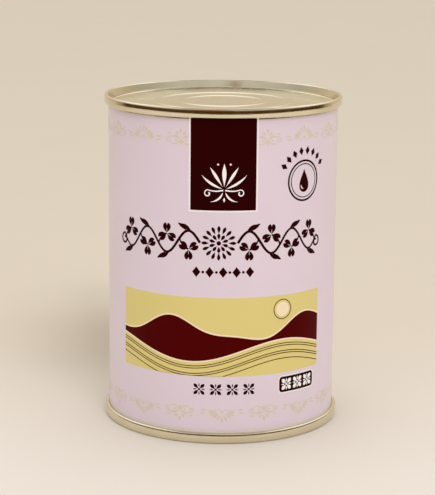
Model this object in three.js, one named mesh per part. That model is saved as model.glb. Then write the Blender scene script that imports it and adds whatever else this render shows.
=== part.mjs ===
// A shut food can of printed tinplate, made of three pieces: a round wall and two equal ends that
// are rolled onto it by double seams. The can is full and shut, so the wall is a solid cylinder.
// Millimetres, +Z up, with the origin at the middle of the base that the can stands on.

import * as THREE from 'three';

// Driving dimensions of the can
const canHeight = 105;
const seamDiameter = 76.2;
const bodyDiameter = 73.3;

// The double seam: the rolled rim that locks an end onto the wall
const seamHeight = 3.1;
const seamThickness = 1.3;
const crownCornerRadius = 0.4;
const seamLowerCornerRadius = 0.3;
const seamBarrel = 0.12;

// The end inside its seam, with depths measured from the seam's crown
const chuckWallDraft = 0.55;
const countersinkDepth = 3.15;
const countersinkFillet = 0.9;
const countersinkFloor = 0.6;
const panelDepth = 2.5;
const panelShoulderRadius = 0.45;
const beadRadii = [21.3, 13.3];
const beadWidth = 2.6;
const beadHeight = 0.25;
const endUndersideDepth = 3.6;

// Clearance between an end and the wall, and the number of flats that make a round
const jointGap = 0.3;
const roundSides = 72;

const seamRadius = seamDiameter / 2;
const bodyRadius = bodyDiameter / 2;
const crownInnerRadius = seamRadius - seamThickness;

// Colours and finishes: bare lacquered tinplate, and the printed wall
const tinplate = { color: 0xd9cbb0, roughness: 0.28, metalness: 1.0 };
const printedWall = { color: 0xd9c7c9, roughness: 0.38, metalness: 0.0 };

// Points of a circular arc in the (radius, height) plane, from one bearing to another in degrees
function arc(centreR, centreZ, radius, fromDegrees, toDegrees, steps) {
  const points = [];
  for (let i = 0; i <= steps; i += 1) {
    const bearing = THREE.MathUtils.degToRad(THREE.MathUtils.lerp(fromDegrees, toDegrees, i / steps));
    points.push(new THREE.Vector2(
      centreR + radius * Math.cos(bearing),
      centreZ + radius * Math.sin(bearing),
    ));
  }
  return points;
}

// The seam's outer face, which bulges a little between its lower edge and its crown
function barrelFace(lowZ, highZ, steps) {
  const points = [];
  for (let i = 0; i <= steps; i += 1) {
    const t = i / steps;
    const bulge = seamBarrel * 4 * t * (1 - t);
    points.push(new THREE.Vector2(seamRadius - seamBarrel + bulge, THREE.MathUtils.lerp(lowZ, highZ, t)));
  }
  return points;
}

// A low ring pressed up out of the panel, met from its outer side
function beadRing(radius) {
  const half = beadWidth / 2;
  return [
    new THREE.Vector2(radius + half, -panelDepth),
    new THREE.Vector2(radius + half / 3, beadHeight - panelDepth),
    new THREE.Vector2(radius - half / 3, beadHeight - panelDepth),
    new THREE.Vector2(radius - half, -panelDepth),
  ];
}

// Half section of one end, from the middle of its underside out round the seam and in to the
// middle of its panel. The crown of the seam is at height 0 and everything else is below it.
function endOutline() {
  const wallFootRadius = crownInnerRadius - chuckWallDraft;
  const filletCentreR = wallFootRadius - countersinkFillet;
  const filletCentreZ = countersinkFillet - countersinkDepth;
  const shoulderRadius = filletCentreR - countersinkFloor - panelShoulderRadius;
  const seamEdge = seamRadius - seamBarrel;
  return [
    new THREE.Vector2(0, -endUndersideDepth),
    new THREE.Vector2(bodyRadius, -endUndersideDepth),
    new THREE.Vector2(bodyRadius, -seamHeight),
    ...arc(seamEdge - seamLowerCornerRadius, seamLowerCornerRadius - seamHeight,
      seamLowerCornerRadius, -90, -30, 2),
    ...barrelFace(seamLowerCornerRadius - seamHeight, -crownCornerRadius, 4),
    ...arc(seamEdge - crownCornerRadius, -crownCornerRadius, crownCornerRadius, 30, 90, 2),
    ...arc(crownInnerRadius + crownCornerRadius, -crownCornerRadius, crownCornerRadius, 90, 180, 3),
    ...arc(filletCentreR, filletCentreZ, countersinkFillet, 0, -90, 4),
    new THREE.Vector2(filletCentreR - countersinkFloor, -countersinkDepth),
    ...arc(shoulderRadius, -panelDepth - panelShoulderRadius, panelShoulderRadius, 0, 90, 2),
    ...beadRadii.flatMap(beadRing),
    new THREE.Vector2(0, -panelDepth),
  ];
}

// A solid of revolution about +Z from a half section that starts and ends on the axis
function turned(outline) {
  const geometry = new THREE.LatheGeometry(outline, roundSides);
  geometry.rotateX(Math.PI / 2);
  return geometry;
}

function makeBody() {
  const clearance = endUndersideDepth + jointGap;
  const geometry = new THREE.CylinderGeometry(
    bodyRadius, bodyRadius, canHeight - 2 * clearance, roundSides,
  );
  geometry.rotateX(Math.PI / 2);
  const body = new THREE.Mesh(geometry, new THREE.MeshStandardMaterial(printedWall));
  body.name = 'can_body';
  body.position.z = canHeight / 2;
  return body;
}

function makeEnd(name) {
  const end = new THREE.Mesh(turned(endOutline()), new THREE.MeshStandardMaterial(tinplate));
  end.name = name;
  return end;
}

const topEnd = makeEnd('top_end');
topEnd.position.z = canHeight;

const bottomEnd = makeEnd('bottom_end');
bottomEnd.rotation.x = Math.PI;

const can = new THREE.Group();
can.name = 'can';
can.add(makeBody(), topEnd, bottomEnd);

export default can;
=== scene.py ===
"""A shut can of evaporated milk in printed tinplate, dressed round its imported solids.

The wall is a tinplate tube that carries a lilac ground and printed ornaments, each a thin film of
ink drawn flat and bent round the wall. The two ends are turned from one half section and hold the
wall by their double seams. Lengths are millimetres until a mesh is finished, which is in metres.
"""

import logging
import math
from collections.abc import Callable
from dataclasses import dataclass, replace
from enum import Enum
from typing import Any

import bmesh
import bpy
from mathutils import Euler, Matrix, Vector


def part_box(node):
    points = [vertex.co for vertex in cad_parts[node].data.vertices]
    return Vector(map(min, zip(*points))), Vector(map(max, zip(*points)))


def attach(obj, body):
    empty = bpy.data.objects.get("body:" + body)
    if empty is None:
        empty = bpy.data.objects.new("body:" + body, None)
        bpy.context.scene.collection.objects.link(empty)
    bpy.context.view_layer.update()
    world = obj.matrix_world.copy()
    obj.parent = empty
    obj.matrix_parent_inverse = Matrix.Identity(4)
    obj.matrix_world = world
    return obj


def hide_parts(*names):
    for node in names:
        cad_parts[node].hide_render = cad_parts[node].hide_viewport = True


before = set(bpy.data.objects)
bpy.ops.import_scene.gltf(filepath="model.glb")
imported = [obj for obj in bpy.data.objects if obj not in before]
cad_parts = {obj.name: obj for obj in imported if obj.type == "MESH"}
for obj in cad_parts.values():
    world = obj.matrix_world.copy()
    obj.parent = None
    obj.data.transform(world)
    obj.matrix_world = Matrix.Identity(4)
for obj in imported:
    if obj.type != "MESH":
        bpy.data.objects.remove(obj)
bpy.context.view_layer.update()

log = logging.getLogger("milk_can")

MM = 0.001
ROOT = "root"

Span = tuple[float, float]
Outline = list[Span]
Colour = tuple[float, ...]
Socket = bpy.types.NodeSocket
Inputs = dict[str | int, Any]
Point = Span | Vector
Path = Callable[[float], Vector]
Width = Callable[[float], float]


class Slot(Enum):
    """The record's material slots."""

    WALL = "printed_wall"
    TIN = "tinplate"


class Ink(Enum):
    """The printed colours, as sRGB hex values."""

    SIZE = "#ECE0D6"
    LILAC = "#E4D4E0"
    MAROON = "#2C0001"
    BROWN = "#4E0001"
    OCHRE = "#E2D081"
    CREAM = "#FBE6C3"
    WHITE = "#FAF5F6"
    BLUSH = "#F6ECF0"
    PALE_GOLD = "#DACCB9"


# Shared helpers for colour, nodes and finished pieces


def linear(hex_colour: str) -> Colour:
    """Turns an sRGB hex colour into linear RGBA.

    Args:
        hex_colour: A colour such as "#DCCACC".

    Returns:
        Linear red, green and blue, with an alpha of 1.
    """
    channels = [int(hex_colour[i : i + 2], 16) / 255 for i in (1, 3, 5)]
    red, green, blue = (c / 12.92 if c <= 0.04045 else ((c + 0.055) / 1.055) ** 2.4 for c in channels)
    return red, green, blue, 1.0


class Nodes:
    """A node tree, with short ways to add the nodes that the finishes and the surroundings share."""

    def __init__(self, tree: bpy.types.NodeTree, coordinates: str = "Object") -> None:
        """Starts from a tree and the coordinates that its textures read."""
        self.tree = tree
        self.place = self.add("ShaderNodeTexCoord").outputs[coordinates]

    def feed(self, node: bpy.types.Node, inputs: Inputs) -> None:
        """Fills a node's input sockets.

        Args:
            node: The node.
            inputs: For each input socket, a value or the output socket that feeds it.
        """
        for key, value in inputs.items():
            if isinstance(value, bpy.types.NodeSocket):
                self.tree.links.new(value, node.inputs[key])
            else:
                node.inputs[key].default_value = value

    def add(self, kind: str, inputs: Inputs | None = None, **settings: Any) -> bpy.types.Node:
        """Adds a node, with its settings, its socket values and its links.

        Args:
            kind: The node's type, such as "ShaderNodeTexNoise".
            inputs: What feeds its input sockets.
            settings: The node's own properties.

        Returns:
            The new node.
        """
        node = self.tree.nodes.new(kind)
        for name, value in settings.items():
            setattr(node, name, value)
        self.feed(node, inputs or {})
        return node

    def noise(self, size_mm: float, detail: float, squeeze: tuple[float, ...] | None = None) -> Socket:
        """Adds a noise of one size.

        Args:
            size_mm: How large its patches are.
            detail: How many finer layers it has.
            squeeze: A scale for each axis. The patches are drawn out where it is below 1.

        Returns:
            The noise, from 0 to 1.
        """
        place = self.place
        if squeeze:
            place = self.add("ShaderNodeMapping", {"Vector": place, "Scale": squeeze}).outputs[0]
        inputs = {"Vector": place, "Scale": 1 / (size_mm * MM), "Detail": detail}
        return self.add("ShaderNodeTexNoise", inputs).outputs["Fac"]

    def blend(self, share: Socket, first: Colour | Socket, second: Colour | Socket) -> Socket:
        """Mixes two colours, from all of the first at a share of 0 to all of the second at 1."""
        return self.add("ShaderNodeMix", {0: share, 6: first, 7: second}, data_type="RGBA").outputs[2]

    def remap(
        self, value: Socket, low: float, high: float, reach: Span = (0.0, 1.0), smooth: bool = False
    ) -> Socket:
        """Stretches a value onto another range.

        Args:
            value: The value.
            low: The result where the value's reach starts.
            high: The result where it ends.
            reach: The stretch of the value that counts.
            smooth: Whether it eases in and out.

        Returns:
            The result, which stays between the low and the high one.
        """
        inputs = {"Value": value, "From Min": reach[0], "From Max": reach[1], "To Min": low, "To Max": high}
        curve = "SMOOTHSTEP" if smooth else "LINEAR"
        return self.add("ShaderNodeMapRange", inputs, interpolation_type=curve).outputs[0]

    def bump(self, height: Socket, depth_mm: float, strength: float, over: Socket | None = None) -> Socket:
        """Adds a relief of so many millimetres, over another one if there is one."""
        relief = {"Height": height, "Distance": depth_mm * MM, "Strength": strength}
        return self.add("ShaderNodeBump", relief | ({"Normal": over} if over else {})).outputs[0]


class Finish:
    """What all finishes share: a name, and what feeds the sockets of one Principled shader."""

    name: str

    def sockets(self, nodes: Nodes) -> Inputs:
        """Adds the textures.

        Args:
            nodes: The material's nodes.

        Returns:
            What feeds the shader's sockets.
        """
        raise NotImplementedError

    def material(self) -> bpy.types.Material:
        """Builds the material.

        Returns:
            The material, which reads the object's own coordinates.
        """
        made = bpy.data.materials.new(self.name)
        made.use_nodes = True
        nodes = Nodes(made.node_tree)
        nodes.feed(made.node_tree.nodes["Principled BSDF"], self.sockets(nodes))
        return made


def finish_piece(
    name: str,
    shape: bmesh.types.BMesh,
    material: bpy.types.Material,
    slot: Slot,
    replaced: tuple[str, ...] = (),
) -> None:
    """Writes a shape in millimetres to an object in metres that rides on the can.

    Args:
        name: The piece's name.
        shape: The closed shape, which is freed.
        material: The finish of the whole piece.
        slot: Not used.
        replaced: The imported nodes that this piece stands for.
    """
    crease = math.radians(32)
    bmesh.ops.scale(shape, vec=(MM, MM, MM), verts=shape.verts[:])
    mesh = bpy.data.meshes.new(name)
    shape.to_mesh(mesh)
    shape.free()
    mesh.shade_smooth()
    mesh.set_sharp_from_angle(angle=crease)
    mesh.materials.append(material)
    piece = bpy.data.objects.new(name, mesh)
    bpy.context.scene.collection.objects.link(piece)
    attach(piece, ROOT)
    if replaced:
        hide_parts(*replaced)
    log.info("%s: %d faces, %s", name, len(mesh.polygons), material.name)


# Finishes


@dataclass(frozen=True)
class LacqueredTinplate(Finish):
    """Cold-rolled steel, flow-brightened tin and a clear pale gold lacquer.

    It gives the eye a warm champagne metal: clear but slightly soft reflections, a faint rolling
    grain along one direction, a cloudy unevenness where the lacquer is thicker, and the upright
    streaks that the press tools leave in a drawn wall.
    """

    name: str = "tinplate_lacquered_rolled"
    bright: str = "#EAE2C9"
    cloudy: str = "#D9CEB1"
    roughness: Span = (0.10, 0.18)
    grain_reach: Span = (0.3, 0.7)
    grain_mm: float = 0.5
    grain_stretch: float = 18.0
    cloud_mm: float = 9.0
    streak_mm: float = 4.0
    streak_stretch: float = 12.0
    grain_depth_mm: float = 0.004
    streak_depth_mm: float = 0.05

    def sockets(self, nodes: Nodes) -> Inputs:
        """Adds the textures.

        Args:
            nodes: The material's nodes.

        Returns:
            What feeds the shader's sockets.
        """
        # The rolling grain runs along X. Real grain is finer than a render shows, so it is coarser here.
        grain = nodes.noise(self.grain_mm, 2.0, (1 / self.grain_stretch, 1.0, 1 / self.grain_stretch))
        streaks = nodes.noise(self.streak_mm, 2.0, (1.0, 1.0, 1 / self.streak_stretch))
        waves = nodes.bump(streaks, self.streak_depth_mm, 1.0)
        clouds = nodes.noise(self.cloud_mm, 3.0)
        return {
            "Metallic": 1.0,
            "Base Color": nodes.blend(clouds, linear(self.bright), linear(self.cloudy)),
            "Roughness": nodes.remap(grain, *self.roughness, self.grain_reach),
            "Normal": nodes.bump(grain, self.grain_depth_mm, 0.6, waves),
        }


@dataclass(frozen=True)
class WeldedSteel(Finish):
    """The bare stripe beside the side weld: resistance-welded steel under a clear stripe lacquer.

    It looks greyer and duller than the ends, with a blue-brown heat tint along the weld.
    """

    name: str = "steel_welded_stripe"
    cool: str = "#B9B2A6"
    heated: str = "#8A7A68"
    tint_mm: float = 2.2
    roughness: float = 0.36

    def sockets(self, nodes: Nodes) -> Inputs:
        """Adds the textures.

        Args:
            nodes: The material's nodes.

        Returns:
            What feeds the shader's sockets.
        """
        heat = nodes.noise(self.tint_mm, 4.0)
        tint = nodes.blend(heat, linear(self.cool), linear(self.heated))
        return {"Metallic": 1.0, "Roughness": self.roughness, "Base Color": tint}


@dataclass(frozen=True)
class VarnishedInk(Finish):
    """Lithographic ink on white-coated tinplate, under a stoved clear varnish.

    It gives the eye a flat field of colour with a satin gloss: a very fine print grain, a slight
    cloudiness of the ink and the soft ripple of the varnish.
    """

    ink: Ink
    roughness: Span = (0.26, 0.38)
    specular: float = 0.5
    grain_mm: float = 0.35
    cloud_mm: float = 16.0
    ripple_mm: float = 2.4
    ripple_depth_mm: float = 0.006
    cloud_depth: float = 0.045
    grain_share: float = 0.5

    @property
    def name(self) -> str:
        """The material's name."""
        return f"ink_{self.ink.name.lower()}_lithographed_varnished"

    def sockets(self, nodes: Nodes) -> Inputs:
        """Adds the textures.

        Args:
            nodes: The material's nodes.

        Returns:
            What feeds the shader's sockets.
        """
        clouds = nodes.noise(self.cloud_mm, 2.0)
        grain = nodes.noise(self.grain_mm, 1.0)
        shares = {"Factor": self.grain_share, 2: clouds, 3: grain}
        mottle = nodes.add("ShaderNodeMix", shares, data_type="FLOAT").outputs[0]
        full = linear(self.ink.value)[:3]
        strong, weak = (
            tuple(c * (1 + change) for c in full) + (1.0,)
            for change in (self.cloud_depth, -self.cloud_depth)
        )
        return {
            "Specular IOR Level": self.specular,
            "Base Color": nodes.blend(mottle, strong, weak),
            "Roughness": nodes.remap(clouds, *self.roughness),
            "Normal": nodes.bump(nodes.noise(self.ripple_mm, 1.0), self.ripple_depth_mm, 0.5),
        }


@dataclass(frozen=True)
class StageCard(Finish):
    """Matt card for the stage, whose colour changes slowly from the front to the back.

    It gives the eye a plain surface with a hardly visible cloudiness, and no gloss.
    """

    name: str
    front: str
    back: str
    fade_mm: Span = (150.0, 400.0)
    cloud_mm: float = 60.0
    cloud_depth: float = 0.03

    def sockets(self, nodes: Nodes) -> Inputs:
        """Adds the textures.

        Args:
            nodes: The material's nodes.

        Returns:
            What feeds the shader's sockets.
        """
        depth = nodes.add("ShaderNodeSeparateXYZ", {"Vector": nodes.place}).outputs["Y"]
        reach = (self.fade_mm[0] * MM, self.fade_mm[1] * MM)
        fade = nodes.remap(depth, 0.0, 1.0, reach, smooth=True)
        card = nodes.blend(fade, linear(self.front), linear(self.back))
        shade = nodes.remap(nodes.noise(self.cloud_mm, 3.0), 1.0, 1 - self.cloud_depth)
        tint = nodes.add("ShaderNodeVectorMath", {0: card, "Scale": shade}, operation="SCALE").outputs[0]
        return {"Roughness": 1.0, "Specular IOR Level": 0.0, "Base Color": tint}


# Outlines and turned solids


def arc_points(centre: Span, radius: float, start: float, end: float, steps: int) -> Outline:
    """Points of an arc in the (radius, height) plane.

    Args:
        centre: The arc's centre.
        radius: The arc's radius.
        start: The first bearing, in degrees from the outward direction.
        end: The last bearing.
        steps: How many chords the arc has.

    Returns:
        The points, both ends included.
    """
    bearings = [math.radians(start + (end - start) * i / steps) for i in range(steps + 1)]
    return [(centre[0] + radius * math.cos(b), centre[1] + radius * math.sin(b)) for b in bearings]


def turned(outline: Outline, sides: int) -> bmesh.types.BMesh:
    """Spins a half section about the can's axis into a closed solid.

    Args:
        outline: (radius, height) points that start and end on the axis.
        sides: How many steps make the full turn.

    Returns:
        The closed solid, with its faces pointing outwards.
    """
    shape = bmesh.new()
    points = [shape.verts.new((r, 0.0, z)) for r, z in outline]
    lines = [shape.edges.new(pair) for pair in zip(points, points[1:])]
    bmesh.ops.spin(
        shape,
        geom=points + lines,
        cent=(0, 0, 0),
        axis=(0, 0, 1),
        dvec=(0, 0, 0),
        angle=math.tau,
        steps=sides,
        use_merge=True,
        use_duplicate=False,
    )
    bmesh.ops.remove_doubles(shape, verts=shape.verts[:], dist=1e-5)
    bmesh.ops.recalc_face_normals(shape, faces=shape.faces[:])
    return shape


@dataclass(frozen=True)
class SeamedEnd:
    """One end of the can: a pressed panel, a countersink groove, a chuck wall and a rolled seam."""

    seam_radius: float
    wall_radius: float
    seam_height: float = 3.1
    seam_thickness: float = 1.3
    crown_outer: float = 0.6
    crown_inner: float = 0.5
    face_lean: float = 12.0
    chuck_lean: float = 17.0
    countersink_depth: float = 2.85
    countersink_fillet: float = 0.9
    countersink_floor: float = 0.6
    panel_depth: float = 2.5
    shoulder: float = 0.45
    bead_radii: tuple[float, ...] = (21.3, 13.3)
    bead_width: float = 2.6
    bead_height: float = 0.25
    plug_inset: float = 0.6
    plug_depth: float = 3.6
    sides: int = 288

    @property
    def curl(self) -> float:
        """The radius of the seam's lower edge, which rolls in to touch the wall."""
        return (self.seam_radius - self.wall_radius) / 2

    def seam_face(self) -> Outline:
        """Draws the seam's outer side, a gently barrelled face between the rolled edge and the crown.

        Returns:
            Its points from the wall outwards and up. Its arcs meet without a corner.
        """
        tilt = math.radians(self.face_lean)
        rounded = self.crown_outer + self.curl
        bow = ((self.seam_height - rounded) / math.sin(tilt) + rounded) / 2
        centre = self.seam_radius - bow
        middle = -self.crown_outer - (bow - self.crown_outer) * math.sin(tilt)
        curl_r = centre + (bow - self.curl) * math.cos(tilt)
        crown_r = centre + (bow - self.crown_outer) * math.cos(tilt)
        rolled = arc_points((curl_r, self.curl - self.seam_height), self.curl, -180, -self.face_lean, 18)
        face = arc_points((centre, middle), bow, -self.face_lean, self.face_lean, 8)
        crown = arc_points((crown_r, -self.crown_outer), self.crown_outer, self.face_lean, 90, 10)
        return rolled + face[1:-1] + crown

    def bead(self, radius: float, steps: int = 12) -> Outline:
        """Draws a low rounded ring that is pressed out of the panel.

        Args:
            radius: The radius of its crest.
            steps: How many chords it has.

        Returns:
            Its points, from its outer side to its inner one.
        """
        share = [i / steps for i in range(steps + 1)]
        rise = [self.bead_height * (0.5 - 0.5 * math.cos(math.tau * t)) for t in share]
        return [
            (radius + self.bead_width * (0.5 - t), up - self.panel_depth) for t, up in zip(share, rise)
        ]

    def outline(self) -> Outline:
        """Draws the end's half section, with the seam's crown at height 0.

        Returns:
            Its points, from the middle of the underside round the seam to the panel's middle.
        """
        lean = math.radians(self.chuck_lean)
        inner = self.seam_radius - self.seam_thickness
        crown_centre = (inner + self.crown_inner, -self.crown_inner)
        fillet_z = self.countersink_fillet - self.countersink_depth
        rounded = self.crown_inner + self.countersink_fillet
        fall = crown_centre[1] - fillet_z
        fillet_r = crown_centre[0] - (rounded + fall * math.sin(lean)) / math.cos(lean)
        groove_edge = fillet_r - self.countersink_floor
        plug = self.wall_radius - self.plug_inset
        shoulder_centre = (groove_edge - self.shoulder, -self.panel_depth - self.shoulder)
        plug_top = self.curl - self.seam_height
        points = [(0.0, -self.plug_depth), (plug, -self.plug_depth), (plug, plug_top)]
        points += self.seam_face()
        points += arc_points(crown_centre, self.crown_inner, 90, 180 - self.chuck_lean, 8)
        points += arc_points((fillet_r, fillet_z), self.countersink_fillet, -self.chuck_lean, -90, 10)
        points += arc_points(shoulder_centre, self.shoulder, 0, 90, 6)
        for radius in self.bead_radii:
            points += self.bead(radius)
        points.append((0.0, -self.panel_depth))
        return points

    def build(
        self, name: str, node: str, crown_height: float, facing: int, material: bpy.types.Material
    ) -> None:
        """Turns the end and sets it on the can, where facing is 1 for upwards and -1 for downwards."""
        outline = [(r, crown_height + facing * z) for r, z in self.outline()]
        finish_piece(name, turned(outline, self.sides), material, Slot.TIN, (node,))


@dataclass(frozen=True)
class CanWall:
    """The tinplate wall under the print, a round solid whose ends sit inside the seams."""

    radius: float
    low: float
    high: float
    recess_inset: float = 0.5
    recess_depth: float = 1.3
    sides: int = 288

    def build(self, material: bpy.types.Material) -> None:
        """Turns the wall.

        Args:
            material: Its finish.
        """
        recess = self.radius - self.recess_inset
        outline = [
            (0.0, self.low + self.recess_depth),
            (recess, self.low + self.recess_depth),
            (recess, self.low),
            (self.radius, self.low),
            (self.radius, self.high),
            (recess, self.high),
            (recess, self.high - self.recess_depth),
            (0.0, self.high - self.recess_depth),
        ]
        finish_piece("wall_tube", turned(outline, self.sides), material, Slot.WALL, ("can_body",))


# Lines and widths for the artwork


def straight(start: Point, end: Point) -> Path:
    """A straight line between two points."""
    return lambda t: Vector(start).lerp(Vector(end), t)


def circular(centre: Point, radius: float, start: float, end: float) -> Path:
    """An arc about a centre, from one bearing to another in degrees."""
    return spiral(centre, radius, radius, start, end)


def spiral(centre: Point, first: float, last: float, start: float, end: float) -> Path:
    """A turn about a centre whose radius changes evenly.

    Args:
        centre: The middle of the turn.
        first: The radius at the start.
        last: The radius at the end.
        start: The first bearing, in degrees.
        end: The last bearing.

    Returns:
        The line.
    """

    def point(t: float) -> Vector:
        """A point of the turn."""
        bearing = math.radians(start + (end - start) * t)
        return Vector(centre) + (first + (last - first) * t) * Vector((math.cos(bearing), math.sin(bearing)))

    return point


def bent(start: Point, pull: Point, end: Point) -> Path:
    """A curve between two points that is pulled towards a third."""
    a, b, c = Vector(start), Vector(pull), Vector(end)
    return lambda t: a * (1 - t) ** 2 + b * 2 * t * (1 - t) + c * t**2


def even(width: float) -> Width:
    """A line of one width."""
    return lambda t: width


def tapered(first: float, last: float) -> Width:
    """A line whose width changes evenly."""
    return lambda t: first + (last - first) * t


def leafy(width: float, widest: float = 0.5, fullness: float = 1.0) -> Width:
    """A leaf: nothing at both ends, and broadest at one place between them.

    Args:
        width: The greatest width.
        widest: Where along the leaf it is broadest, from 0 to 1.
        fullness: Below 1 for rounder ends, and above 1 for sharper ones.

    Returns:
        The width along the leaf.
    """
    skew = math.log(0.5) / math.log(widest)
    return lambda t: width * math.sin(math.pi * min(max(t, 0.0), 1.0) ** skew) ** fullness


@dataclass(frozen=True)
class Placing:
    """Where a motif goes on the sheet, how far it is turned and whether it is mirrored."""

    x: float = 0.0
    y: float = 0.0
    turn: float = 0.0
    flip_x: bool = False
    flip_y: bool = False

    def __call__(self, point: Vector) -> Vector:
        """Moves a point of the motif to its place on the sheet.

        Args:
            point: The point, as the motif has it about its own middle.

        Returns:
            The point turned, mirrored and moved.
        """
        turn = math.radians(self.turn)
        x = point.x * math.cos(turn) - point.y * math.sin(turn)
        y = point.x * math.sin(turn) + point.y * math.cos(turn)
        return Vector((self.x + (-x if self.flip_x else x), self.y + (-y if self.flip_y else y)))


class Artwork:
    """Flat shapes of one ink. X runs round the wall to the right, and Y is the height on the can."""

    CELL = 1.2
    TIP = 0.04
    STAGGER = 0.0016
    STAGGERS = 5

    def __init__(self) -> None:
        """Starts an empty sheet."""
        self.shape = bmesh.new()
        self.drawn = 0

    def _grid(self, columns: int, rows: int) -> list[bmesh.types.BMVert]:
        """Adds a unit grid a hair above or below the last one, so that overlaps never coincide.

        Args:
            columns: How many cells it has from left to right.
            rows: How many it has upwards.

        Returns:
            The grid's points.
        """
        made = bmesh.ops.create_grid(self.shape, x_segments=columns, y_segments=rows, size=0.5)["verts"]
        lift = self.STAGGER * (self.drawn % self.STAGGERS)
        for vert in made:
            vert.co.z = lift
        self.drawn += 1
        return made

    def stroke(self, path: Path, width: Width, steps: int = 12, at: Placing = Placing()) -> None:
        """Draws a line of changing width, which also makes leaves, petals and drops.

        Args:
            path: The middle of the line, for t from 0 to 1.
            width: Its width, for the same t.
            steps: How many cells it has along.
            at: Where it goes on the sheet.
        """
        broadest = max(width(i / steps) for i in range(steps + 1))
        rows = max(1, math.ceil(broadest / self.CELL))
        reach = 0.5 / steps
        for vert in self._grid(steps, rows):
            t = vert.co.x + 0.5
            ahead = path(min(t + reach, 1.0)) - path(max(t - reach, 0.0))
            across = Vector((-ahead.y, ahead.x)).normalized()
            point = path(t) + across * (vert.co.y * max(width(t), self.TIP))
            vert.co.xy = at(point)

    def disc(self, x: float, y: float, radius: float, at: Placing = Placing()) -> None:
        """Draws a full circle.

        Args:
            x: Its middle from left to right.
            y: Its middle's height.
            radius: Its radius.
            at: Where it goes on the sheet.
        """
        self.stroke(
            lambda t: Vector((x, y - radius * math.cos(math.pi * t))),
            lambda t: 2 * radius * math.sin(math.pi * t),
            max(10, math.ceil(radius * 4)),
            at,
        )

    def ring(self, x: float, y: float, radius: float, width: float, at: Placing = Placing()) -> None:
        """Draws a circle as a line."""
        self.stroke(circular((x, y), radius, 0, 360), even(width), max(24, math.ceil(radius * 8)), at)

    def lozenge(self, x: float, y: float, width: float, height: float, at: Placing = Placing()) -> None:
        """Draws an upright diamond."""
        axis = straight((x, y - height / 2), (x, y + height / 2))
        self.stroke(axis, lambda t: width * (1 - abs(2 * t - 1)), 4, at)

    def band(self, low: Width, high: Width, left: float, right: float) -> None:
        """Fills between two heights that may change from left to right.

        Args:
            low: The lower edge's height at a place x.
            high: The upper edge's height at a place x.
            left: Where the band starts.
            right: Where it ends.
        """
        columns = math.ceil((right - left) / self.CELL)
        for vert in self._grid(columns, 1):
            x = left + (right - left) * (vert.co.x + 0.5)
            share = vert.co.y + 0.5
            vert.co.xy = (x, low(x) + (high(x) - low(x)) * share)


@dataclass(frozen=True)
class PrintSheet:
    """Lays artwork on the wall, one thin film of ink above another."""

    radius: float
    film: float = 0.02
    sink: float = 0.03

    def raised(self) -> "PrintSheet":
        """The sheet that lies one film of ink higher."""
        return replace(self, radius=self.radius + self.film)

    def lay(
        self,
        name: str,
        art: Artwork,
        material: bpy.types.Material,
        layer: int,
        bearing: float = 0.0,
        slot: Slot = Slot.WALL,
        proud: float = 0.0,
    ) -> None:
        """Gives flat artwork a thickness that reaches into the ground and bends it round the wall.

        Args:
            name: The piece's name.
            art: The drawing, whose shape is used up.
            material: The ink.
            layer: 0 for the ground, and one more for each ink above it.
            bearing: Where the drawing's middle goes, in degrees from the front to the right.
            slot: The record's slot.
            proud: How much thicker than a film of ink it is.
        """
        shape = art.shape
        bmesh.ops.remove_doubles(shape, verts=shape.verts[:], dist=1e-4)
        shape.normal_update()
        bmesh.ops.reverse_faces(shape, faces=[f for f in shape.faces if f.normal.z < 0])
        base = shape.verts[:]
        raised = bmesh.ops.extrude_face_region(shape, geom=shape.faces[:])["geom"]
        top = {v for v in raised if isinstance(v, bmesh.types.BMVert)}
        outer = self.radius + self.film * layer
        for vert in base:
            vert.co.z = self.radius - self.sink
        for vert in top:
            vert.co.z += outer + proud
        turn = math.radians(bearing)
        for vert in shape.verts:
            angle = turn + vert.co.x / self.radius
            reach, height = vert.co.z, vert.co.y
            vert.co = (reach * math.sin(angle), -reach * math.cos(angle), height)
        bmesh.ops.recalc_face_normals(shape, faces=shape.faces[:])
        finish_piece(name, shape, material, slot)


@dataclass(frozen=True)
class Face:
    """One printed face of the can, with its middle's bearing and all that is needed to print on it."""

    name: str
    bearing: float
    sheet: PrintSheet
    inks: dict[Ink, bpy.types.Material]

    def lay(self, name: str, art: Artwork, ink: Ink, layer: int) -> None:
        """Prints one drawing on the face, in one ink."""
        self.sheet.lay(f"{name}_{self.name}", art, self.inks[ink], layer, self.bearing)


# The printed ornaments


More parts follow.
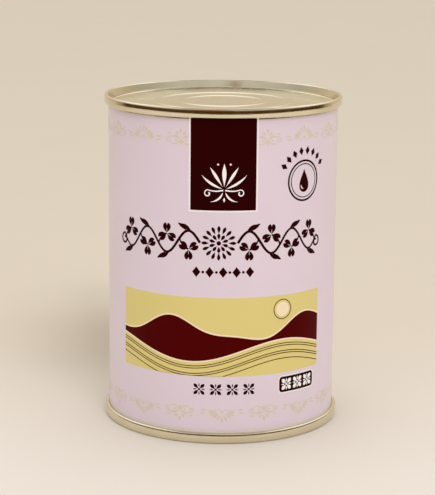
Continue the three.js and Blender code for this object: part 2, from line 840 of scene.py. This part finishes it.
@dataclass(frozen=True)
class Ground:
    """The lilac ground, which leaves a bare stripe for the side weld and a hem at each end.

    The hem is white base coat at the foot. At the top a line of bare tin is the seam's painted shadow.
    """

    low: float
    high: float
    hem_low: float = 1.15
    hem_high: float = 0.1
    # Bare tin left under the top seam, as painted shade for the seam's shadow on the wall
    shade_band_high: float = 1.15
    stripe_bearing: float = 96.0
    stripe_degrees: float = 3.4
    margin: float = 0.3
    weld_width: float = 0.6
    weld_proud: float = 0.06

    def build(
        self, sheet: PrintSheet, inks: dict[Ink, bpy.types.Material], steel: bpy.types.Material
    ) -> None:
        """Lays the base coat, the lilac, the bare stripe and the weld.

        Args:
            sheet: Lays them on the wall.
            inks: The materials of the inks.
            steel: The bare stripe's finish.
        """
        half_stripe = math.radians(self.stripe_degrees / 2) * sheet.radius
        round_wall = math.tau * sheet.radius
        # The print stops short of the seam, so the line of bare tin there is painted shade
        top = self.high - self.shade_band_high
        left, right = half_stripe + self.margin, round_wall - half_stripe - self.margin
        coat = Artwork()
        coat.band(lambda x: self.low, lambda x: top, half_stripe, round_wall - half_stripe)
        sheet.lay("base_coat", coat, inks[Ink.SIZE], 0, self.stripe_bearing)
        field = Artwork()
        field.band(lambda x: self.low + self.hem_low, lambda x: top - self.hem_high, left, right)
        sheet.lay("lilac_ground", field, inks[Ink.LILAC], 1, self.stripe_bearing)
        stripe = Artwork()
        stripe.band(lambda x: self.low, lambda x: self.high, -half_stripe, half_stripe)
        sheet.lay("side_stripe", stripe, steel, 0, self.stripe_bearing, Slot.TIN)
        weld = Artwork()
        weld.stroke(straight((0, self.low), (0, self.high)), even(self.weld_width), 2)
        sheet.lay("side_weld", weld, steel, 1, self.stripe_bearing, Slot.TIN, self.weld_proud)


@dataclass(frozen=True)
class LaceBorder:
    """A running border of fans and scrolled fans, upright below the top seam and mirrored at the foot.

    The flags cover one place of the top border on each face, which is left out there.
    """

    centre: float = 95.0
    mirror_height: float = 105.2
    pitch_degrees: float = 21.0
    first: int = -12
    last: int = 4
    covered: tuple[int, ...] = (0, -8)
    line: float = 0.34

    def petals(
        self, art: Artwork, count: int, reach: Span, crest: float, width: float, at: Placing
    ) -> None:
        """Draws the petals of a fan about a point, the middle one tallest.

        Args:
            art: The sheet that they are drawn on.
            count: How many there are.
            reach: How far the fan goes sideways and up.
            crest: How much taller the middle petal is.
            width: A petal's width.
            at: Where the fan's foot goes.
        """
        for i in range(count):
            share = 2 * i / (count - 1) - 1
            turn = math.radians(90 - 84 * share)
            rise = crest * max(0.0, 1 - 2.2 * abs(share))
            tip = Vector((reach[0] * math.cos(turn), reach[1] * math.sin(turn) + rise))
            art.stroke(straight(tip * 0.34, tip), leafy(width, 0.64, 0.8), 6, at)

    def fan(self, art: Artwork, at: Placing) -> None:
        """Draws an open fan of nine petals over a row of beads, with two leaves on either hand.

        Args:
            art: The sheet that it is drawn on.
            at: Where its foot goes.
        """
        self.petals(art, 9, (4.3, 2.9), 0.9, 0.8, at)
        art.disc(0, 0.1, 0.5, at)
        for side in (False, True):
            mirrored = Placing(at.x, at.y, 0, at.flip_x ^ side, at.flip_y)
            for i in range(4):
                art.disc(1.0 + 1.05 * i, -0.55 + 0.06 * i, 0.3 - 0.03 * i, mirrored)
            art.stroke(bent((4.7, -0.1), (5.7, -0.8), (6.8, -0.1)), leafy(0.55), 6, mirrored)
            art.stroke(bent((4.9, 0.5), (5.9, 0.5), (7.2, 0.9)), leafy(0.5), 6, mirrored)

    def scrolled_fan(self, art: Artwork, at: Placing) -> None:
        """Draws a small fan on two scrolls, with a bud hanging between them.

        Args:
            art: The sheet that it is drawn on.
            at: Where its foot goes.
        """
        raised = Placing(at.x, at.y + (-0.9 if at.flip_y else 0.9), 0, False, at.flip_y)
        self.petals(art, 5, (2.4, 2.1), 0.6, 0.9, raised)
        for side in (False, True):
            mirrored = Placing(at.x, at.y, 0, at.flip_x ^ side, at.flip_y)
            art.stroke(bent((0.3, 0.4), (2.6, 1.5), (4.3, 0.6)), tapered(0.5, self.line), 8, mirrored)
            art.stroke(spiral((3.9, -0.1), 0.8, 0.25, 60, -280), tapered(self.line, 0.45), 14, mirrored)
            art.stroke(bent((0.3, -0.1), (1.4, -1.7), (3.1, -1.1)), tapered(0.5, self.line), 8, mirrored)
            art.stroke(bent((3.0, 1.9), (3.8, 2.0), (4.4, 1.4)), leafy(0.55), 6, mirrored)
            art.disc(1.6, -0.1, 0.34, mirrored)
        art.stroke(straight((0, 0.3), (0, -1.7)), leafy(0.85, 0.4), 6, at)

    def build(self, sheet: PrintSheet, ink: bpy.types.Material) -> None:
        """Lays both borders.

        Args:
            sheet: Lays them on the wall.
            ink: The pale gold.
        """
        pitch = math.radians(self.pitch_degrees) * sheet.radius
        for name, height, flip in (
            ("lace_border_top", self.centre, False),
            ("lace_border_foot", self.mirror_height - self.centre, True),
        ):
            art = Artwork()
            for place in range(self.first, self.last + 1):
                if place in self.covered and not flip:
                    continue
                at = Placing(place * pitch, height, 0, False, flip)
                if place % 2 == 0:
                    self.fan(art, at)
                else:
                    self.scrolled_fan(art, at)
            sheet.lay(name, art, ink, 1)


@dataclass(frozen=True)
class HangingFlag:
    """The dark field that hangs from the top seam, with a pale keyline and a white flower on it."""

    top: float
    left: float = -10.28
    right: float = 9.95
    foot: float = 73.7
    keyline: float = 0.55
    flower_x: float = 0.1
    flower_height: float = 82.0

    def flower(self) -> Artwork:
        """Draws a lily on two scrolled leaves.

        Returns:
            The drawing, at its place on the flag.
        """
        art = Artwork()
        at = Placing(self.flower_x, self.flower_height)
        art.stroke(straight((0, -0.9), (0, 6.2)), leafy(1.3, 0.55, 1.1), 12, at)
        art.lozenge(0, -5.0, 0.7, 1.5, at)
        for side in (False, True):
            mirrored = replace(at, flip_x=side)
            art.stroke(bent((0.5, -1.0), (2.1, 1.6), (4.3, 5.0)), leafy(0.9, 0.6), 12, mirrored)
            art.stroke(bent((0.7, -1.5), (4.6, -0.2), (6.9, 2.6)), leafy(0.75, 0.45), 12, mirrored)
            art.stroke(bent((0.3, -2.0), (3.0, -2.6), (4.9, -1.9)), tapered(0.45, 0.3), 10, mirrored)
            art.stroke(spiral((5.0, -3.0), 1.15, 0.4, 95, -235), tapered(0.3, 0.45), 18, mirrored)
            art.stroke(bent((0.4, -2.7), (1.4, -5.4), (4.2, -5.6)), leafy(0.6, 0.4), 10, mirrored)
            art.disc(1.9, 5.9, 0.3, mirrored)
        return art

    def build(self, face: Face) -> None:
        """Lays the flag.

        Args:
            face: The face that gets it.
        """
        left, right, foot, line = self.left, self.right, self.foot, self.keyline
        field = Artwork()
        field.band(even(foot), even(self.top), left, right)
        face.lay("flag", field, Ink.MAROON, 2)
        keyline = Artwork()
        keyline.band(even(foot - line), even(self.top), left - line, left)
        keyline.band(even(foot - line), even(self.top), right, right + line)
        keyline.band(even(foot - line), even(foot), left, right)
        face.lay("flag_keyline", keyline, Ink.BLUSH, 2)
        face.lay("flag_flower", self.flower(), Ink.WHITE, 3)


@dataclass(frozen=True)
class DropBadge:
    """A small round badge with a drop of milk in it, under an arch of lozenges."""

    x: float = 27.2
    height: float = 81.6
    ring_radius: float = 6.2
    ring_width: float = 0.6
    ring_gap: float = 1.0
    drop_height: float = 7.2
    drop_width: float = 5.6
    gleam_radius: float = 1.3
    gleam_width: float = 0.5
    arch_radius: float = 9.3
    arch_lozenges: int = 8
    arch_half_degrees: float = 58.0
    lozenge: Span = (1.8, 2.6)

    def outline(self) -> Artwork:
        """Draws the two rings, the drop and the arch.

        Returns:
            The drawing, at its place on the face.
        """
        art = Artwork()
        at = Placing(self.x, self.height)
        art.ring(0, 0, self.ring_radius, self.ring_width, at)
        art.ring(0, 0, self.ring_radius - self.ring_gap, self.ring_width / 2, at)
        art.stroke(
            lambda t: Vector((0, -self.drop_height / 2 * math.cos(math.pi * t))),
            lambda t: self.drop_width * math.sin(math.pi * t) * math.cos(math.pi * t / 2) ** 1.5,
            20,
            at,
        )
        for i in range(self.arch_lozenges):
            lean = self.arch_half_degrees * (1 - 2 * i / (self.arch_lozenges - 1))
            art.lozenge(0, self.arch_radius, *self.lozenge, replace(at, turn=lean))
        return art

    def build(self, face: Face) -> None:
        """Lays the badge, with a pale gleam on its drop.

        Args:
            face: The face that gets it.
        """
        face.lay("drop_badge", self.outline(), Ink.MAROON, 1)
        gleam = Artwork()
        centre = (self.x, self.height - self.gleam_radius)
        gleam.stroke(circular(centre, self.gleam_radius, 175, 260), leafy(self.gleam_width), 8)
        face.lay("drop_gleam", gleam, Ink.LILAC, 2)


@dataclass(frozen=True)
class CloverBand:
    """The broad ornament across the face: a clover vine that runs out both ways from a blossom."""

    middle: float = -1.4
    reach: float = 36.6
    height: float = 63.6
    wave: float = 3.6
    waves: int = 2
    curl: float = 1.9
    stem: float = 0.85
    stalk: float = 0.5
    blossom_radius: float = 5.4
    floret: float = 1.0
    leaflet: float = 3.3
    leaflet_width: float = 2.5
    sprig: float = 1.1

    def leaf(self, art: Artwork, at: Placing) -> None:
        """Draws a clover leaf of three notched leaflets, pointing up.

        Args:
            art: The sheet that it is drawn on.
            at: Where its middle goes.
        """
        lobe = leafy(self.leaflet_width * 0.56, 0.62, 0.75)
        for bearing in (90, 210, 330):
            turn = math.radians(bearing)
            out = Vector((math.cos(turn), math.sin(turn)))
            side = Vector((-out.y, out.x))
            for hand in (-1, 1):
                bulge = out * self.leaflet * 0.55 + side * hand * self.leaflet_width * 0.42
                tip = out * self.leaflet + side * hand * self.leaflet_width * 0.16
                art.stroke(bent(out * 0.25, bulge, tip), lobe, 10, at)

    def blossom(self, art: Artwork) -> None:
        """Draws the round flower head, two rings of florets round a heart.

        Args:
            art: The sheet that it is drawn on.
        """
        at = Placing(self.middle, self.height)
        middle = self.blossom_radius * 0.56
        for count, inner, outer in ((16, middle, self.blossom_radius), (10, 1.1, middle)):
            for i in range(count):
                turn = math.tau * i / count
                out = Vector((math.sin(turn), math.cos(turn)))
                art.stroke(straight(out * inner, out * outer), leafy(self.floret, 0.62, 0.7), 8, at)
        art.disc(0, 0, 0.7, at)

    def side(self, art: Artwork, flip: bool) -> None:
        """Draws the vine on one side of the blossom.

        Args:
            art: The sheet that it is drawn on.
            flip: Whether it runs to the left.
        """
        at = Placing(self.middle, self.height, 0, flip)
        start = self.blossom_radius + 0.4
        end = self.reach - self.curl
        length = (end - start) / self.waves
        thin = self.stem * 0.7

        def vine(x: float) -> Vector:
            """The point of the vine at a place along it."""
            return Vector((x, self.wave * math.sin(math.tau * (x - start) / length)))

        art.stroke(
            lambda t: vine(start + (end - start) * t), tapered(self.stem, thin), 26 * self.waves, at
        )
        art.stroke(spiral((end, -self.curl), self.curl, 0.5, 90, -300), tapered(thin, 0.7), 22, at)
        for half_wave in range(2 * self.waves):
            x = start + length * (half_wave / 2 + 0.25)
            below = half_wave % 2 == 0
            sign = -1 if below else 1
            leaf = Vector((x, sign * 2.2))
            fork = vine(x + length * 0.2)
            stalk = bent(fork, (fork.x - 0.6, leaf.y * 0.6), leaf)
            art.stroke(stalk, even(self.stalk), 8, at)
            leaf_x = self.middle + (-x if flip else x)
            self.leaf(art, Placing(leaf_x, self.height + leaf.y, 0, flip, below))
            for share in (-0.06, 0.03):
                foot = vine(x + length * share)
                pull = foot + Vector((1.3, -sign * 1.4))
                tip = foot + Vector((3.0, -sign * 2.3))
                art.stroke(bent(foot, pull, tip), leafy(self.sprig, 0.55, 0.8), 8, at)

    def build(self, face: Face) -> None:
        """Lays the band.

        Args:
            face: The face that gets it.
        """
        art = Artwork()
        self.blossom(art)
        self.side(art, False)
        self.side(art, True)
        face.lay("clover_band", art, Ink.MAROON, 1)


@dataclass(frozen=True)
class BlossomRow:
    """A short row of small blossoms, each of four petals with a thin ray between them."""

    middle: float
    height: float
    pitch: float
    count: int
    petal: float = 2.05
    petal_width: float = 1.05
    ray: float = 1.9
    ray_width: float = 0.36
    heart: float = 0.34

    def draw(self, art: Artwork) -> None:
        """Draws the whole row.

        Args:
            art: The sheet that it is drawn on.
        """
        for i in range(self.count):
            at = Placing(self.middle + (i - (self.count - 1) / 2) * self.pitch, self.height)
            petal = straight((self.heart, 0), (self.petal + self.heart, 0))
            ray = straight((2 * self.heart, 0), (self.ray, 0))
            for turn in (0, 90, 180, 270):
                art.stroke(petal, leafy(self.petal_width, 0.6, 0.8), 8, replace(at, turn=turn + 45))
                art.stroke(ray, leafy(self.ray_width), 5, replace(at, turn=turn))
            art.disc(0, 0, self.heart, at)


@dataclass(frozen=True)
class SmallRows:
    """Two short rows of small motifs, one under the clover band and one at the foot."""

    lozenge_height: float = 54.5
    lozenge_pitch: float = 4.15
    lozenges: int = 5
    lozenge: Span = (2.6, 3.3)
    bead: float = 0.42
    blossoms: BlossomRow = BlossomRow(0.6, 17.2, 5.2, 4)

    def build(self, face: Face) -> None:
        """Lays both rows.

        Args:
            face: The face that gets them.
        """
        row = Artwork()
        for i in range(self.lozenges):
            x = (i - (self.lozenges - 1) / 2) * self.lozenge_pitch
            row.lozenge(x, self.lozenge_height, *self.lozenge)
            if i:
                row.disc(x - self.lozenge_pitch / 2, self.lozenge_height, self.bead)
        face.lay("lozenge_row", row, Ink.MAROON, 1)
        flowers = Artwork()
        self.blossoms.draw(flowers)
        face.lay("blossom_row", flowers, Ink.MAROON, 1)


@dataclass(frozen=True)
class LandscapePanel:
    """The ochre panel: dark rolling hills with pale edges, furrowed fields and a low sun."""

    left: float = -36.0
    right: float = 35.2
    foot: float = 21.4
    top: float = 46.4
    keyline: float = 0.5
    furrow: float = 0.26
    furrow_drops: tuple[float, ...] = (1.3, 2.0, 3.7, 4.4, 6.1)
    sun: Span = (19.5, 41.9)
    sun_radius: float = 2.3
    halo_radius: float = 3.1

    @staticmethod
    def far_ridge(x: float) -> float:
        """The height of the dark hills at a place."""
        return 36.2 + 3.3 * math.cos(math.tau * (x + 16) / 47) + math.cos(math.tau * (x - 5) / 22)

    @staticmethod
    def near_ridge(x: float) -> float:
        """The height of the near field at a place."""
        return 29.0 + 3.2 * math.cos(math.tau * (x - 20) / 61)

    def line(self, art: Artwork, ridge: Width, drop: float, width: float) -> None:
        """Draws a line that follows a ridge.

        Args:
            art: The sheet that it is drawn on.
            ridge: The ridge's height at a place.
            drop: How far below the ridge the line runs.
            width: How broad it is.
        """
        art.band(
            lambda x: max(ridge(x) - drop - width / 2, self.foot),
            lambda x: max(ridge(x) - drop + width / 2, self.foot + art.TIP / 2),
            self.left,
            self.right,
        )

    def build(self, face: Face) -> None:
        """Lays the panel.

        Args:
            face: The face that gets it.
        """
        field = Artwork()
        field.band(even(self.foot), even(self.top), self.left, self.right)
        face.lay("panel_field", field, Ink.OCHRE, 1)
        hills = Artwork()
        hills.band(self.near_ridge, self.far_ridge, self.left, self.right)
        face.lay("panel_hills", hills, Ink.BROWN, 2)
        furrows = Artwork()
        for drop in self.furrow_drops:
            self.line(furrows, self.near_ridge, drop, self.furrow)
        furrows.ring(*self.sun, self.halo_radius, self.furrow)
        face.lay("panel_furrows", furrows, Ink.BROWN, 2)
        edges = Artwork()
        for ridge in (self.near_ridge, self.far_ridge):
            self.line(edges, ridge, 0.0, self.keyline)
        edges.disc(*self.sun, self.sun_radius)
        face.lay("panel_edges", edges, Ink.CREAM, 3)


@dataclass(frozen=True)
class BaseTablet:
    """The small dark tablet at the lower right, with three pale blossoms."""

    x: float = 25.8
    height: float = 17.5
    half_width: float = 7.1
    half_height: float = 2.5
    corner: float = 1.0
    keyline: float = 0.4
    pitch: float = 4.4
    steps: int = 48

    def rounded(self, grow: float) -> tuple[Path, Width]:
        """Says how to draw the tablet as one broad stroke with round corners.

        Args:
            grow: How much larger than the tablet it is, all round.

        Returns:
            The stroke's middle line and its width.
        """
        half, corner = self.half_width + grow, self.corner + grow
        tall = 2 * (self.half_height + grow)

        def width(t: float) -> float:
            """The tablet's height at a place along it."""
            short = max(0.0, abs(2 * t - 1) * half - (half - corner))
            return tall - 2 * (corner - math.sqrt(max(corner**2 - short**2, 0.0)))

        return straight((self.x - half, self.height), (self.x + half, self.height)), width

    def build(self, face: Face) -> None:
        """Lays the tablet.

        Args:
            face: The face that gets it.
        """
        rim = Artwork()
        rim.stroke(*self.rounded(self.keyline), self.steps)
        face.lay("tablet_keyline", rim, Ink.BLUSH, 1)
        field = Artwork()
        field.stroke(*self.rounded(0.0), self.steps)
        face.lay("tablet", field, Ink.MAROON, 2)
        marks = Artwork()
        BlossomRow(self.x, self.height, self.pitch, 3, petal_width=1.25, ray_width=0.5).draw(marks)
        face.lay("tablet_blossoms", marks, Ink.WHITE, 3)


# The studio

# The rays that miss a card which shows only as a reflection in the metal and the varnish
REFLECTED_ONLY = ("camera", "diffuse", "shadow", "transmission")


@dataclass(frozen=True)
class LevelCard:
    """A level card of the stage, with its reach from left to right and from the front to the back."""

    name: str
    across: Span
    along: Span
    height: float
    finish: StageCard
    unseen_by: tuple[str, ...] = ()

    def place(self, share: float, back: float) -> Vector:
        """Where a point of the card is, for two shares from 0 to 1."""
        (left, right), (near, far) = self.across, self.along
        return Vector((left + (right - left) * share, near + (far - near) * back, self.height))


@dataclass(frozen=True)
class Studio:
    """A pale floor, soft light from overhead and the right, dark cards for the metal, and a camera.

    The camera was solved from the can's outline in a frame of 435 by 495 pixels. The floor fills every
    view down onto the can. The shade card deepens the shadow on the left, out of the picture. The
    ceiling card keeps the lid from burning out when it is seen from above.
    """

    # The floor is painted darker towards the back, as painted shade behind the can
    floor: LevelCard = LevelCard(
        "floor",
        (-6000.0, 6000.0),
        (-6000.0, 6000.0),
        0.0,
        StageCard("card_matt_coated", "#DCD3C8", "#D0C4B3", (-60.0, 120.0)),
    )
    shade_card: LevelCard = LevelCard(
        "shade_card",
        (-48.0, -18.0),
        (50.0, 130.0),
        42.0,
        StageCard("card_matt_tan", "#B8A890", "#B8A890"),
        ("camera", "glossy"),
    )
    ceiling_card: LevelCard = LevelCard(
        "ceiling_card",
        (-900.0, 900.0),
        (-900.0, 900.0),
        1500.0,
        StageCard("card_matt_grey", "#A8A6A0", "#E6E2DA", (-500.0, 900.0)),
        REFLECTED_ONLY,
    )
    dark_finish: StageCard = StageCard("card_flocked_dark", "#50340E", "#D8CCB6")
    brown_finish: StageCard = StageCard("card_matt_brown", "#A08468", "#A08468")

    frame_height_px: float = 495.0
    focal_px: float = 1771.7
    sensor_mm: float = 36.0
    camera_distance: float = 564.6
    camera_height: float = 175.2
    pitch: float = 12.07
    roll: float = 0.49
    yaw: float = 0.145
    can_turn: float = -0.70
    screen_radius: float = 760.0
    screen_height: float = 250.0
    screen_drop: float = 60.0
    screen_half_degrees: float = 124.0
    lying_radius: float = 450.0
    lying_bearing: float = 72.0
    lying_lift: float = 0.5
    brown_top: float = 600.0
    brown_bearings: Span = (-38.0, 11.0)
    key_size: float = 500.0
    key_watts: float = 4.6
    key_bearing: float = 16.0
    key_lift: float = 42.0
    key_distance: float = 1400.0
    front_wall: str = "#C1BEB4"
    back_wall: str = "#F2E1C7"
    ceiling: str = "#F6F6F6"
    behind_reach: Span = (-0.1, 0.7)
    above_reach: Span = (0.22, 0.62)
    glow_lean: float = 12.0
    glow_reach: Span = (0.33, 0.9)
    dimmest: float = 0.75
    brightest: float = 1.57

    def camera(self) -> None:
        """Sets up the camera at the photograph's viewing angle."""
        data = bpy.data.cameras.new("studio_camera")
        data.sensor_width = self.sensor_mm
        data.lens = self.focal_px * self.sensor_mm / self.frame_height_px
        data.clip_start, data.clip_end = 0.01, 30.0
        camera = bpy.data.objects.new("studio_camera", data)
        bpy.context.scene.collection.objects.link(camera)
        turn = math.radians(self.can_turn)
        away = self.camera_distance * MM
        camera.location = (away * math.sin(turn), -away * math.cos(turn), self.camera_height * MM)
        tilt = Euler((math.radians(90 - self.pitch), 0, math.radians(self.can_turn + self.yaw))).to_matrix()
        camera.rotation_euler = (tilt @ Euler((0, 0, math.radians(self.roll))).to_matrix()).to_euler()
        bpy.context.scene.camera = camera

    def sheet(
        self,
        name: str,
        columns: int,
        place: Callable[[float, float], Vector],
        material: bpy.types.Material,
        unseen_by: tuple[str, ...] = (),
    ) -> None:
        """Makes one sheet of the stage from a grid.

        Args:
            name: The sheet's name.
            columns: How many cells it has across.
            place: Where a point of the sheet is, for two shares from 0 to 1.
            material: Its finish.
            unseen_by: The kinds of ray that pass through it.
        """
        shape = bmesh.new()
        bmesh.ops.create_grid(shape, x_segments=columns, y_segments=1, size=0.5)
        for vert in shape.verts:
            vert.co = place(vert.co.x + 0.5, vert.co.y + 0.5) * MM
        mesh = bpy.data.meshes.new(name)
        shape.to_mesh(mesh)
        shape.free()
        mesh.materials.append(material)
        made = bpy.data.objects.new(name, mesh)
        bpy.context.scene.collection.objects.link(made)
        for rays in unseen_by:
            setattr(made, f"visible_{rays}", False)

    def level_card(self, card: LevelCard) -> None:
        """Lays a level card."""
        self.sheet(card.name, 1, card.place, card.finish.material(), card.unseen_by)

    def dark_screens(self) -> None:
        """Puts up the dark screens in front, which only show as reflections in the metal and varnish."""
        outer = self.screen_radius
        brown_left, brown_right = self.brown_bearings

        def at(bearing: float, radius: float, height: float) -> Vector:
            """A point at a bearing from the front, a distance from the can and a height."""
            turn = math.radians(bearing)
            return Vector((radius * math.sin(turn), -radius * math.cos(turn), height))

        def front(share: float, up: float) -> Vector:
            """A point of the upright screen, which is lower towards its ends."""
            height = self.screen_height - self.screen_drop * (2 * share - 1) ** 2
            return at(self.screen_half_degrees * (2 * share - 1), outer, height * up)

        def lying(share: float, out: float) -> Vector:
            """A point of the crescent that lies just above the floor."""
            inner = self.lying_radius + (outer - self.lying_radius) * (2 * share - 1) ** 2
            return at(self.lying_bearing * (2 * share - 1), inner + (outer - inner) * out, self.lying_lift)

        def upper(share: float, up: float) -> Vector:
            """A point of the rounded brown screen above the upright one."""
            rise = (self.brown_top - self.screen_height) * math.sin(math.pi * share)
            return at(brown_left + (brown_right - brown_left) * share, outer, self.screen_height + rise * up)

        dark = self.dark_finish.material()
        self.sheet("front_screen", 96, front, dark, REFLECTED_ONLY)
        self.sheet("floor_screen", 96, lying, dark, REFLECTED_ONLY)
        self.sheet("upper_screen", 24, upper, self.brown_finish.material(), REFLECTED_ONLY)

    def key_light(self) -> None:
        """Hangs a square soft light that looks at the can from the front right."""
        data = bpy.data.lights.new("key_light", "AREA")
        data.size = self.key_size * MM
        data.energy = self.key_watts
        lamp = bpy.data.objects.new("key_light", data)
        bpy.context.scene.collection.objects.link(lamp)
        around, up = math.radians(self.key_bearing), math.radians(self.key_lift)
        out = Vector((math.sin(around) * math.cos(up), -math.cos(around) * math.cos(up), math.sin(up)))
        lamp.location = out * self.key_distance * MM
        lamp.rotation_mode = "QUATERNION"
        lamp.rotation_quaternion = (-out).to_track_quat("-Z", "Y")
        lamp.visible_camera = False
        lamp.visible_glossy = False

    def surroundings(self) -> None:
        """Lights the scene from all round, palest overhead and behind the can."""
        world = bpy.data.worlds.new("studio_world")
        world.use_nodes = True
        bpy.context.scene.world = world
        nodes = Nodes(world.node_tree, "Generated")
        axes = nodes.add("ShaderNodeSeparateXYZ", {"Vector": nodes.place}).outputs
        behind = nodes.remap(axes["Y"], 0.0, 1.0, self.behind_reach)
        above = nodes.remap(axes["Z"], 0.0, 1.0, self.above_reach, smooth=True)
        walls = nodes.blend(behind, linear(self.front_wall), linear(self.back_wall))
        lean = math.radians(self.glow_lean)
        glow = {0: nodes.place, 1: (0.0, math.sin(lean), math.cos(lean))}
        near = nodes.add("ShaderNodeVectorMath", glow, operation="DOT_PRODUCT").outputs["Value"]
        inputs = {
            "Color": nodes.blend(above, walls, linear(self.ceiling)),
            "Strength": nodes.remap(near, self.dimmest, self.brightest, self.glow_reach, smooth=True),
        }
        nodes.feed(world.node_tree.nodes["Background"], inputs)

    def build(self) -> None:
        """Builds the whole studio."""
        bpy.context.scene.view_settings.view_transform = "Standard"
        self.camera()
        self.level_card(self.floor)
        self.level_card(self.shade_card)
        self.dark_screens()
        self.level_card(self.ceiling_card)
        self.key_light()
        self.surroundings()
        log.info("studio: floor, five cards and screens, a light and the camera")


# The can


@dataclass(frozen=True)
class MilkCan:
    """The whole can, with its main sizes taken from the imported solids."""

    seam_radius: float
    wall_radius: float
    height: float
    bottom_seam_height: float = 3.35
    matt_specular: float = 0.03
    faces: tuple[tuple[str, float], ...] = (("front", 0.0), ("back", -168.0))

    @classmethod
    def from_frame(cls) -> "MilkCan":
        """Reads the can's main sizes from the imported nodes.

        Returns:
            The can.
        """
        low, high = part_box("can_body")
        end_low, end_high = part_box("top_end")
        return cls((end_high.x - end_low.x) / 2 / MM, (high.x - low.x) / 2 / MM, end_high.z / MM)

    def build(self) -> None:
        """Builds the metal and then the print, ground first."""
        tin = LacqueredTinplate().material()
        matt = (Ink.MAROON, Ink.BROWN)
        inks = {ink: VarnishedInk(ink).material() for ink in Ink if ink not in matt}
        inks |= {ink: VarnishedInk(ink, specular=self.matt_specular).material() for ink in matt}
        top = SeamedEnd(self.seam_radius, self.wall_radius)
        top.build("top_lid", "top_end", self.height, 1, tin)
        bottom = replace(top, seam_height=self.bottom_seam_height)
        bottom.build("bottom_lid", "bottom_end", 0.0, -1, tin)
        low = bottom.seam_height - bottom.curl
        high = self.height - top.seam_height + top.curl
        sheet = PrintSheet(self.wall_radius)
        CanWall(self.wall_radius - sheet.film, low, high).build(tin)
        Ground(low, high).build(sheet, inks, WeldedSteel().material())
        sheet = sheet.raised()
        LaceBorder().build(sheet, inks[Ink.PALE_GOLD])
        flag = HangingFlag(high)
        for name, bearing in self.faces:
            face = Face(name, bearing, sheet, inks)
            for ornament in (flag, DropBadge(), CloverBand(), SmallRows(), LandscapePanel(), BaseTablet()):
                ornament.build(face)


def main() -> None:
    """Builds the can and its studio."""
    logging.basicConfig(level=logging.INFO, format="%(name)s: %(message)s")
    MilkCan.from_frame().build()
    Studio().build()


if __name__ == "__main__":
    main()
